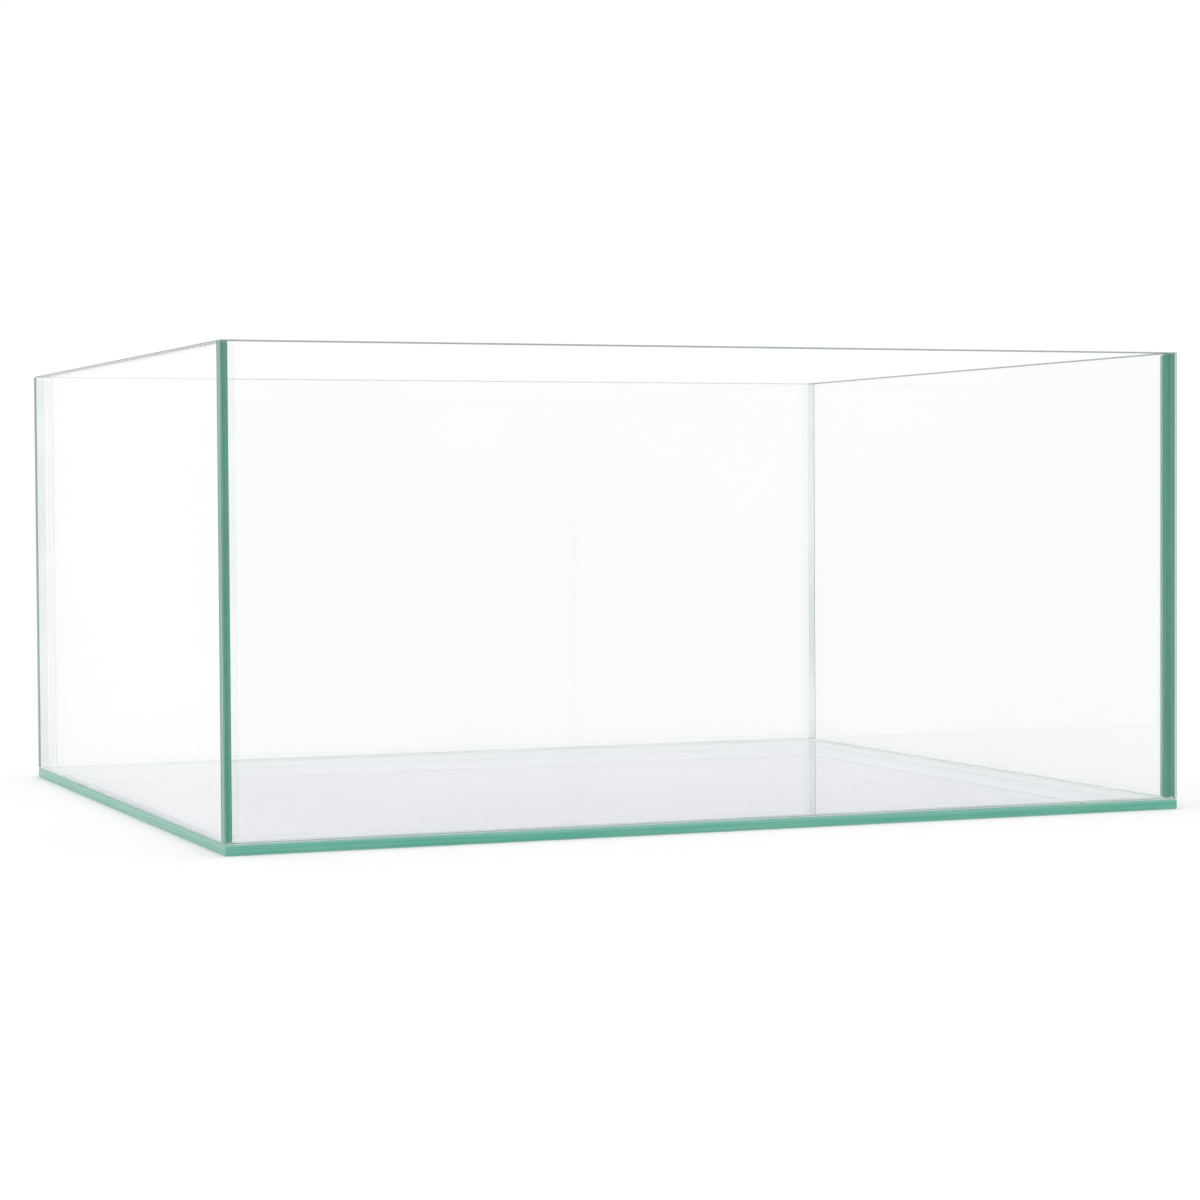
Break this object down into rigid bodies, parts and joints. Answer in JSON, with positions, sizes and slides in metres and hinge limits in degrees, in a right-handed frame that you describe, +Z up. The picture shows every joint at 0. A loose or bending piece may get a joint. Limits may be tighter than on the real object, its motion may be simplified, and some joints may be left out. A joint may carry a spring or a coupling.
{
  "type": "glass aquarium tank",
  "caption": "Rimless open-topped rectangular aquarium tank of thick float glass with green polished edges, glued with clear silicone, to hold water.",
  "frame": {"origin": "centre of the underside of the base panel, on the surface that the tank stands on", "axes": "+X along the length, to the right seen from the front; +Y from the front pane to the back pane; +Z up through the open top"},
  "size_m": [1.5, 1.3, 0.7],
  "materials": {
    "glass": "polished float glass, faintly green through its faces and bottle green at its edges",
    "silicone": "clear acetoxy silicone, slightly milky, tooled smooth"
  },
  "bodies": {
    "root": {"base_panel": "glass", "front_panel": "glass", "back_panel": "glass", "left_panel": "glass", "right_panel": "glass", "base_bond_front": "silicone", "base_bond_back": "silicone", "base_bond_left": "silicone", "base_bond_right": "silicone", "bond_front_left": "silicone", "bond_front_right": "silicone", "bond_back_left": "silicone", "bond_back_right": "silicone", "base_bead_front": "silicone", "base_bead_back": "silicone", "base_bead_left": "silicone", "base_bead_right": "silicone", "bead_front_left": "silicone", "bead_front_right": "silicone", "bead_back_left": "silicone", "bead_back_right": "silicone"}
  },
  "joints": []
}
